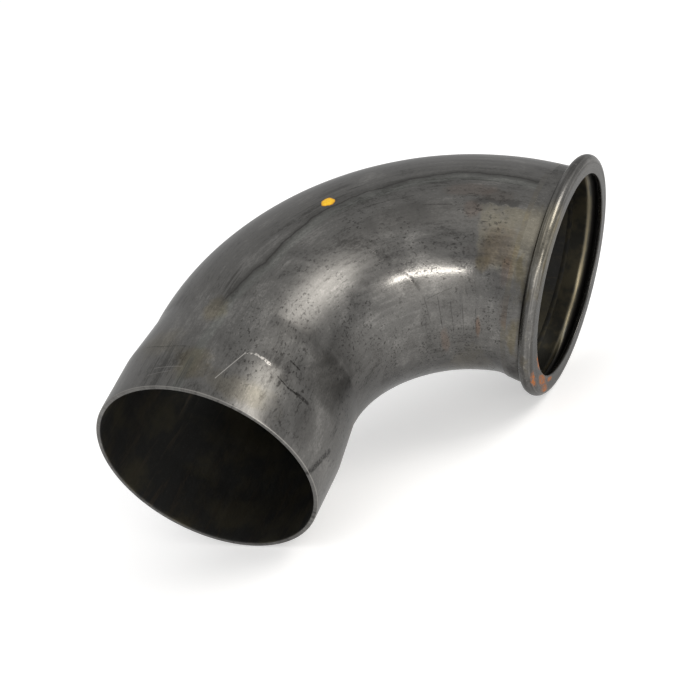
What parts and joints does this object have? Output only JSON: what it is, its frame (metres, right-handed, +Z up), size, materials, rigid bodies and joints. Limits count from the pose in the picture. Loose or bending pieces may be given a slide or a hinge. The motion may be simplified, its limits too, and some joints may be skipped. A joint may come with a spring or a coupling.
{
  "type": "pipe elbow",
  "caption": "Right-angle exhaust pipe elbow of bent steel tube, with an expanded slip collar on one end and a hollow rolled clamp flange welded to the other.",
  "frame": {"origin": "centre of the clamp flange's sealing face", "axes": "+X out of the flange along its axis, -Y out of the slip collar along its axis, +Z up at right angles to the plane of the bend"},
  "size_m": [0.2152, 0.2709, 0.145],
  "materials": {
    "tube_steel": "bare mild steel, dark and oily, with lengthwise bending marks and a burnished inner side",
    "weld_steel": "butt weld dressed flush outside, with straw-coloured heat tint inside",
    "flange_steel": "roll-formed bare steel with fine lines round it and a trace of rust",
    "marking_paint": "yellow inspection paint, a brushed dab"
  },
  "bodies": {
    "root": {"elbow_tube": "tube_steel", "flange_weld": "weld_steel", "clamp_flange": "flange_steel", "paint_mark": "marking_paint"}
  },
  "joints": []
}
